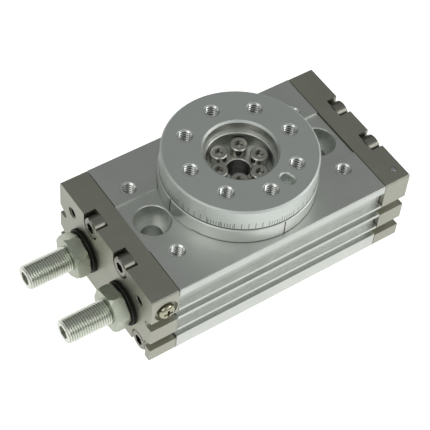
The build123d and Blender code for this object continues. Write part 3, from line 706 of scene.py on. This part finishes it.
def table_material(groups, colours):
    """Satin table with its scale round the rim and a bright machined pocket."""
    material, tree, shader, grain, turning = start_turned_material("table_aluminium", groups)
    scale_node = use_group(tree, groups["graduation"], (-900, -400))
    for label in ("Angle", "Radius", "Height"):
        tree.links.new(turning[label], scale_node.inputs[label])
    mask = scale_node.outputs["Mask"]
    inside = maths(tree, "LESS_THAN", (-900, 0), turning["Radius"], POCKET_RADIUS)
    below = maths(tree, "LESS_THAN", (-900, -150), turning["Height"], POCKET_MOUTH)
    pocket = maths(tree, "MULTIPLY", (-700, -50), inside, below)
    satin = blend_colours(
        tree, (-600, 300), grain["Cloud"], opaque(colours.table_dark), opaque(colours.table_light))
    machined = blend_colours(
        tree, (-600, 100), turning["Marks"], opaque(colours.pocket_dark), opaque(colours.pocket_light))
    plain = blend_colours(tree, (-300, 200), pocket, satin, machined)
    # Painted shade in the gap under the rim, laid only on the rim beyond TABLE_RIM
    shaded = darken_corners(tree, groups, plain, deep=opaque(colours.gap), **GAP_SHADE)
    outer = maths(tree, "GREATER_THAN", (-700, 600), turning["Radius"], TABLE_RIM)
    plain = blend_colours(tree, (0, 350), outer, plain, shaded)
    marked = blend_colours(tree, (50, 200), mask, plain, opaque(colours.graduation))
    satin_rough = spread(tree, (-600, -100), grain["Speckle"], 0.50, 0.58)
    bright_rough = spread(tree, (-600, -300), turning["Marks"], 0.34, 0.46)
    rough = tree.nodes.new("ShaderNodeMix")
    rough.location = (-300, -100)
    tree.links.new(pocket, rough.inputs[0])
    tree.links.new(satin_rough, rough.inputs[2])
    tree.links.new(bright_rough, rough.inputs[3])
    solid = maths(tree, "SUBTRACT", (0, 0), 1.0, mask)
    height = maths(tree, "ADD", (-300, -400), grain["Height"], turning["Marks"])
    height = maths(tree, "SUBTRACT", (-150, -400), height, mask)
    tree.links.new(marked, shader.inputs["Base Color"])
    tree.links.new(rough.outputs[0], shader.inputs["Roughness"])
    tree.links.new(solid, shader.inputs["Metallic"])
    add_relief(tree, groups, shader, height, edge=0.14 * MM)
    return material


def retainer_material(groups, colours):
    """Satin retainer with black-filled index grooves."""
    material, tree, shader, grain, turning = start_turned_material("retainer_aluminium", groups)
    half_step = INDEX_STEP / 2
    turned = maths(tree, "WRAP", (-900, -550), turning["Angle"], half_step, -half_step)
    off_mark = maths(tree, "ABSOLUTE", (-800, -550), turned)
    mask = maths(tree, "LESS_THAN", (-900, -100), turning["Radius"], INDEX_OUTER)
    for column, operation, value, limit in (
            (-700, "GREATER_THAN", turning["Radius"], INDEX_INNER),
            (-550, "LESS_THAN", turning["Height"], INDEX_TOP),
            (-400, "LESS_THAN", off_mark, INDEX_HALF_WIDTH)):
        within = maths(tree, operation, (column, -300), value, limit)
        mask = maths(tree, "MULTIPLY", (column, -150), mask, within)
    satin = blend_colours(
        tree, (-600, 300), grain["Cloud"], opaque(colours.retainer_dark), opaque(colours.retainer_light))
    # Painted shade in the gap under the table's rim
    satin = darken_corners(tree, groups, satin, deep=opaque(colours.gap), **GAP_SHADE)
    marked = blend_colours(tree, (50, 200), mask, satin, opaque(colours.index_mark))
    rough = spread(tree, (-600, 0), grain["Speckle"], 0.36, 0.46)
    height = maths(tree, "ADD", (-300, -400), grain["Height"], turning["Marks"])
    tree.links.new(marked, shader.inputs["Base Color"])
    tree.links.new(rough, shader.inputs["Roughness"])
    tree.links.new(maths(tree, "SUBTRACT", (0, 0), 1.0, mask), shader.inputs["Metallic"])
    add_relief(tree, groups, shader, height, edge=0.03 * MM, strength=0.3)
    return material


def build_materials():
    """Make every node group and material, and give the materials by slot or use."""
    scene = bpy.context.scene
    colours = scene.rotary_colours
    groups = {
        "grain": grain_group(),
        "lines": lines_group(),
        "turning": turning_group(),
        "graduation": graduation_group(scene.rotary_scale),
        "corners": corner_group(),
        "relief": relief_group(),
    }
    polished = {"depth": POLISH_DEPTH}
    return {
        "body": metal("body_aluminium", colours.body, 0.42, groups, lines=True),
        "cover": metal("cover_aluminium", colours.cover, 0.40, groups, edge=0.06 * MM),
        "table": table_material(groups, colours),
        "retainer": retainer_material(groups, colours),
        "gasket": metal("gasket_rubber", colours.gasket, 0.8, groups, metallic=0.0),
        "rubber": metal(
            "washer_rubber", colours.rubber, 0.60, groups, scale=0.6, metallic=0.0, specular=0.22),
        "pad": metal("pad_urethane", colours.pad, 0.6, groups, metallic=0.0),
        # Where a reach is given below, shade is painted into sockets, recesses and thread roots within it
        "screws": metal("screw_steel", colours.screws, 0.24, groups, shade_reach=1.2 * MM, **polished),
        "stainless": metal("stainless_steel", colours.stainless, 0.24, groups, shade_reach=1.0 * MM, **polished),
        "nickel": metal(
            "nickel_plate", colours.nickel, 0.22, groups, scale=0.4, depth=0.002 * MM,
            edge=0.05 * MM, shade_reach=0.9 * MM),
        "steel": metal("bearing_steel", colours.steel, 0.12, groups, scale=0.4, depth=0.005 * MM),
        "gear_steel": metal("gear_steel", colours.gear_steel, 0.30, groups),
        "piston": metal("piston_aluminium", colours.piston, 0.30, groups, lines=True),
        "cage": metal("cage_resin", colours.cage, 0.55, groups, metallic=0.0),
        "magnet": metal("magnet_iron", colours.magnet, 0.45, groups),
        "zinc": metal(
            "zinc_plate", colours.zinc, 0.35, groups, scale=3.0, tint=0.22, edge=0.10 * MM, **polished),
        "zinc_thread": metal(
            "zinc_thread", colours.zinc_thread, 0.30, groups, tint=0.06, edge=0.04 * MM,
            shade_reach=0.3 * MM, **polished),
        "port_thread": metal(
            "port_thread", colours.port_thread, 0.32, groups, edge=0.02 * MM, shade_reach=0.8 * MM, **polished),
        "thread": metal(
            "cut_thread", colours.cut_thread, 0.23, groups, tint=0.02, edge=0.02 * MM,
            shade_reach=1.0 * MM, shade_power=2.3, **polished),
        "washer_edge": metal("washer_edge", colours.washer_edge, 0.40, groups),
    }


materials = {}  # filled by the finishes operator, and read by the others


# Operators, one for each piece or group

class ROTARY_OT_finishes(bpy.types.Operator):
    """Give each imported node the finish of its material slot"""

    bl_idname = "rotary.finishes"
    bl_label = "Finish the packed nodes"

    def execute(self, context):
        materials.update(build_materials())
        for entry in frame["record"]["subparts"]:
            slot = entry["material_slot"]
            if slot not in materials:
                raise RuntimeError("no finish for slot " + slot)
            node = frame["nodes"][entry["node"]]
            node.data.materials.clear()
            node.data.materials.append(materials[slot])
            smooth(node, 30.0)
        clear_selection()
        return {"FINISHED"}


class ROTARY_OT_adjusters(bpy.types.Operator):
    """Cut the thread and the socket of both stroke adjusters"""

    bl_idname = "rotary.adjusters"
    bl_label = "Thread the stroke adjusters"

    def execute(self, context):
        settings = context.scene.rotary_thread
        pitch = settings.adjuster_pitch
        radius = settings.adjuster_radius
        root = radius - pitch * settings.thread_depth
        for side in ("near", "far"):
            low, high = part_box(side + "_adjuster_bolt")
            length = high.x - low.x
            centre = (low + high) / 2
            turns = int(length / pitch) + ROD_EXTRA_TURNS
            ridge = thread_ridge(root - RIDGE_SINK, radius, pitch, turns, ROD_RIDGE_STEPS)
            ridge.rotation_euler = (0, math.pi / 2, 0)
            ridge.location = (low.x - ROD_RUN_IN * pitch, centre.y, centre.z)
            settle(ridge)
            blank = self.blank(radius, length, centre, settings.end_chamfer)
            cut(ridge, blank, "INTERSECT")
            core = self.blank(root, length, centre, settings.end_chamfer - (radius - root))
            clear_selection()
            bpy.ops.mesh.primitive_cylinder_add(
                vertices=6, radius=settings.socket_radius, depth=2 * settings.socket_depth,
                location=(low.x, centre.y, centre.z), rotation=(0, math.pi / 2, 0))
            socket = context.object
            settle(socket)
            cut(core, socket)
            rod = join([core, ridge], side + "_adjuster_thread")
            give(rod, materials["zinc_thread"], side + "_adjuster")
            smooth(rod, 25.0)
            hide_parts(side + "_adjuster_bolt")
        return {"FINISHED"}

    def blank(self, radius, length, centre, chamfer):
        """Model a plain rod along X with chamfered ends."""
        clear_selection()
        bpy.ops.mesh.primitive_cylinder_add(
            vertices=64, radius=radius, depth=length, location=centre, rotation=(0, math.pi / 2, 0))
        rod = bpy.context.object
        settle(rod)
        apply_modifier(
            rod, "BEVEL", width=chamfer, segments=1, limit_method="ANGLE", angle_limit=math.radians(60))
        return rod


class ROTARY_OT_hole_threads(bpy.types.Operator):
    """Cut the threads in the holes of the body, the table and the ports"""

    bl_idname = "rotary.hole_threads"
    bl_label = "Thread the holes"

    def ridge(self, mouth, along, radius, pitch, turns):
        """Model the ridge behind one mouth, along the hole's direction."""
        length = (turns + 1) * pitch
        ridge = thread_ridge(
            radius + RIDGE_SINK, radius - pitch * HOLE_RIDGE_SHARE, pitch, turns + 1, HOLE_RIDGE_STEPS)
        if along.x:
            trim(ridge, 2 * radius, pitch, length + 2 * pitch)
            ridge.rotation_euler = (0, math.pi / 2, 0)
            ridge.location = mouth + along * (HOLE_SETBACK - pitch)
        else:
            trim(ridge, 2 * radius, -pitch, length)
            ridge.location = mouth + along * (length + HOLE_SETBACK)
        settle(ridge)
        return ridge

    def execute(self, context):
        settings = context.scene.rotary_thread
        large = (settings.hole_radius, settings.hole_pitch)
        small = (settings.port_radius, settings.port_pitch)
        table_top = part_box("table")[1].z
        body_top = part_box("body")[1].z
        cover_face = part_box("adjuster_cover")[0].x
        turned = [REST_ANGLE + index * math.pi / 4 for index in range(8)]
        table_mouths = [
            Vector((TABLE_HOLE_CIRCLE * math.cos(a), TABLE_HOLE_CIRCLE * math.sin(a), table_top))
            for a in turned]
        body_mouths = [Vector((x * BODY_HOLE_X, y * BODY_HOLE_Y, body_top)) for x in (-1, 1) for y in (-1, 1)]
        port_mouths = [Vector((cover_face, y * PORT_Y, PORT_Z)) for y in (-1, 1)]
        down = Vector((0, 0, -1))
        inwards = Vector((1, 0, 0))
        for name, mouths, along, size, turns, body, slot, finish in (
                ("table_hole_threads", table_mouths, down, large, 5, "rotor", "table", "thread"),
                ("body_hole_threads", body_mouths, down, large, 7, "housing", "body", "thread"),
                ("port_threads", port_mouths, inwards, small, 8, "housing", "cover", "port_thread")):
            joined = join([self.ridge(mouth, along, *size, turns) for mouth in mouths], name)
            give(joined, materials[finish], body)
            smooth(joined, 25.0)
        return {"FINISHED"}


class ROTARY_OT_side_plugs(bpy.types.Operator):
    """Model the cross-recessed plugs in the side ports"""

    bl_idname = "rotary.side_plugs"
    bl_label = "Model the side plugs"

    def execute(self, context):
        settings = context.scene.rotary_plug
        low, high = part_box("side_port_plugs")
        radius = PLUG_HEAD_SHARE * (high.x - low.x) / 2
        pieces = []
        for side in (-1, 1):
            face_y = low.y if side < 0 else high.y
            middle = Vector((
                (low.x + high.x) / 2, face_y - side * PLUG_HEAD_HEIGHT / 2, (low.z + high.z) / 2))
            clear_selection()
            bpy.ops.mesh.primitive_cylinder_add(
                vertices=48, radius=radius, depth=PLUG_HEAD_HEIGHT, location=middle,
                rotation=(math.pi / 2, 0, 0))
            head = context.object
            settle(head)
            select_faces(head, lambda centre, normal: normal.y * side > FACING)
            bpy.ops.mesh.bevel(offset=settings.crown, segments=7, affect="EDGES")
            select_faces(head, lambda centre, normal: normal.y * side < -FACING)
            bpy.ops.mesh.inset(thickness=radius - PLUG_SHANK_RADIUS)
            bpy.ops.mesh.extrude_region_move(
                TRANSFORM_OT_translate={"value": (0, -side * PLUG_SHANK_LENGTH, 0)})
            to_object_mode()
            across = (settings.arm_width, settings.arm_length)
            for width, length in (across, across[::-1]):
                clear_selection()
                bpy.ops.mesh.primitive_cube_add(size=1.0, location=(middle.x, face_y, middle.z))
                arm = context.object
                arm.dimensions = (width, 2 * settings.recess_depth, length)
                settle(arm)
                select_faces(arm, lambda centre, normal: normal.y * side < -FACING)
                bpy.ops.transform.resize(
                    value=(RECESS_TAPER, 1.0, RECESS_TAPER), center_override=middle)
                to_object_mode()
                cut(head, arm)
            pieces.append(head)
        plugs = join(pieces, "side_plugs")
        give(plugs, materials["nickel"], "housing")
        smooth(plugs, 30.0)
        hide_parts("side_port_plugs")
        return {"FINISHED"}


class ROTARY_OT_washer_rings(bpy.types.Operator):
    """Add the thin steel edge that shows between the two steps of each seal washer"""

    bl_idname = "rotary.washer_rings"
    bl_label = "Add the washer rings"

    def execute(self, context):
        for side in ("near", "far"):
            low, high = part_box(side + "_seal_washer")
            centre = (low + high) / 2
            clear_selection()
            bpy.ops.mesh.primitive_torus_add(
                major_segments=72, minor_segments=8,
                major_radius=WASHER_RING_RADIUS, minor_radius=WASHER_WIRE_RADIUS,
                location=(high.x - WASHER_RING_SETBACK, centre.y, centre.z), rotation=(0, math.pi / 2, 0))
            ring = named(context.object, side + "_washer_ring")
            give(ring, materials["washer_edge"], "housing")
            smooth(ring, 60.0)
        return {"FINISHED"}


class ROTARY_OT_stage(bpy.types.Operator):
    """Set the floor, the light and the camera"""

    bl_idname = "rotary.stage"
    bl_label = "Set the stage"

    def floor(self, context, settings, colours):
        """Lay the paper floor, which keeps the object's shadow."""
        clear_selection()
        bpy.ops.mesh.primitive_plane_add(size=settings.floor_size, location=(0, 0, -FLOOR_DEPTH))
        plane = named(context.object, "floor")
        settle(plane)
        material = bpy.data.materials.new("floor_paper")
        material.use_nodes = True
        tree = material.node_tree
        tree.nodes.clear()
        output = shader_node(tree, "ShaderNodeOutputMaterial", (600, 0))
        paper = shader_node(tree, "ShaderNodeBsdfDiffuse", (0, 100), color=opaque(colours.paper))
        path = shader_node(tree, "ShaderNodeLightPath", (-500, -100))
        seen = maths(
            tree, "MULTIPLY_ADD", (-250, -100), path.outputs["Is Camera Ray"],
            settings.floor_white, settings.floor_glow)
        glow = shader_node(tree, "ShaderNodeEmission", (0, -100), color=(1, 1, 1, 1))
        tree.links.new(seen, glow.inputs["Strength"])
        both = shader_node(tree, "ShaderNodeAddShader", (300, 0))
        tree.links.new(paper.outputs[0], both.inputs[0])
        tree.links.new(glow.outputs[0], both.inputs[1])
        tree.links.new(both.outputs[0], output.inputs["Surface"])
        plane.data.materials.append(material)

    def surroundings(self, context, settings, colours):
        """Light the scene from a sky that grows brighter upwards and that the camera sees as white."""
        world = bpy.data.worlds.new("studio")
        context.scene.world = world
        world.use_nodes = True
        tree = world.node_tree
        tree.nodes.clear()
        output = shader_node(tree, "ShaderNodeOutputWorld", (900, 0))
        coordinates = shader_node(tree, "ShaderNodeTexCoord", (-600, 0))
        parts = shader_node(tree, "ShaderNodeSeparateXYZ", (-400, 0))
        ramp = shader_node(tree, "ShaderNodeMapRange", (-200, 0), interpolation_type="SMOOTHSTEP")
        ramp.inputs["From Min"].default_value = SKY_RISE[0]
        ramp.inputs["From Max"].default_value = SKY_RISE[1]
        ramp.inputs["To Min"].default_value = settings.sky_low
        ramp.inputs["To Max"].default_value = settings.sky_high
        sky = shader_node(tree, "ShaderNodeBackground", (200, 100), color=opaque(colours.sky))
        white = shader_node(tree, "ShaderNodeBackground", (200, -100), color=(1, 1, 1, 1), strength=1.0)
        path = shader_node(tree, "ShaderNodeLightPath", (200, 400))
        choose = shader_node(tree, "ShaderNodeMixShader", (600, 0))
        tree.links.new(coordinates.outputs["Generated"], parts.inputs["Vector"])
        tree.links.new(parts.outputs["Z"], ramp.inputs["Value"])
        tree.links.new(ramp.outputs["Result"], sky.inputs["Strength"])
        tree.links.new(path.outputs["Is Camera Ray"], choose.inputs["Fac"])
        tree.links.new(sky.outputs[0], choose.inputs[1])
        tree.links.new(white.outputs[0], choose.inputs[2])
        tree.links.new(choose.outputs[0], output.inputs["Surface"])

    def panel(self, name, place, size, power, colour):
        """Hang one light panel that faces the object."""
        clear_selection()
        bpy.ops.object.light_add(type="AREA", location=place)
        lamp = named(bpy.context.object, name)
        lamp.data.shape = "RECTANGLE"
        lamp.data.size = size[0]
        lamp.data.size_y = size[1]
        lamp.data.energy = power
        lamp.data.color = colour
        towards = Vector(PANEL_TARGET) - Vector(place)
        lamp.rotation_euler = towards.to_track_quat("-Z", "Y").to_euler()

    def camera(self, context, settings):
        """Set the camera where the photograph was taken from."""
        clear_selection()
        turn = Matrix((Vector(CAMERA_RIGHT), -Vector(CAMERA_DOWN), -Vector(CAMERA_FORWARD))).transposed()
        bpy.ops.object.camera_add(location=Vector(CAMERA_PLACE) * MM)
        camera = context.object
        camera.name = "photo_camera"
        camera.rotation_euler = turn.to_euler()
        camera.data.sensor_width = 36.0
        camera.data.sensor_fit = "HORIZONTAL"
        camera.data.lens = settings.focal_length
        camera.data.clip_start = 0.01
        camera.data.clip_end = 20.0
        context.scene.camera = camera

    def execute(self, context):
        settings = context.scene.rotary_stage
        colours = context.scene.rotary_colours
        self.floor(context, settings, colours)
        self.surroundings(context, settings, colours)
        for panel in PANELS:
            self.panel(*panel)
        self.camera(context, settings)
        context.scene.view_settings.view_transform = "Standard"
        return {"FINISHED"}


class ROTARY_PT_panel(bpy.types.Panel):
    """The steps of the rotary table, in order"""

    bl_idname = "ROTARY_PT_panel"
    bl_label = "Rotary Table"
    bl_space_type = "VIEW_3D"
    bl_region_type = "UI"
    bl_category = "Rotary Table"

    def draw(self, context):
        column = self.layout.column()
        for step in STEPS:
            column.operator(step)


STEPS = (
    "rotary.finishes",
    "rotary.adjusters",
    "rotary.hole_threads",
    "rotary.side_plugs",
    "rotary.washer_rings",
    "rotary.stage",
)

CLASSES = (
    RotaryThreadSettings,
    RotaryPlugSettings,
    RotaryScaleSettings,
    RotaryColourSettings,
    RotaryStageSettings,
    ROTARY_OT_finishes,
    ROTARY_OT_adjusters,
    ROTARY_OT_hole_threads,
    ROTARY_OT_side_plugs,
    ROTARY_OT_washer_rings,
    ROTARY_OT_stage,
    ROTARY_PT_panel,
)


def register():
    """Register the classes and attach their settings to the scene."""
    for kind in CLASSES:
        bpy.utils.register_class(kind)
    bpy.types.Scene.rotary_thread = bpy.props.PointerProperty(type=RotaryThreadSettings)
    bpy.types.Scene.rotary_plug = bpy.props.PointerProperty(type=RotaryPlugSettings)
    bpy.types.Scene.rotary_scale = bpy.props.PointerProperty(type=RotaryScaleSettings)
    bpy.types.Scene.rotary_colours = bpy.props.PointerProperty(type=RotaryColourSettings)
    bpy.types.Scene.rotary_stage = bpy.props.PointerProperty(type=RotaryStageSettings)


def unregister():
    """Take the settings and the classes away again."""
    del bpy.types.Scene.rotary_stage
    del bpy.types.Scene.rotary_colours
    del bpy.types.Scene.rotary_scale
    del bpy.types.Scene.rotary_plug
    del bpy.types.Scene.rotary_thread
    for kind in reversed(CLASSES):
        bpy.utils.unregister_class(kind)


def main():
    """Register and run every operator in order."""
    register()
    bpy.ops.rotary.finishes()
    bpy.ops.rotary.adjusters()
    bpy.ops.rotary.hole_threads()
    bpy.ops.rotary.side_plugs()
    bpy.ops.rotary.washer_rings()
    bpy.ops.rotary.stage()


if __name__ == "__main__":
    main()
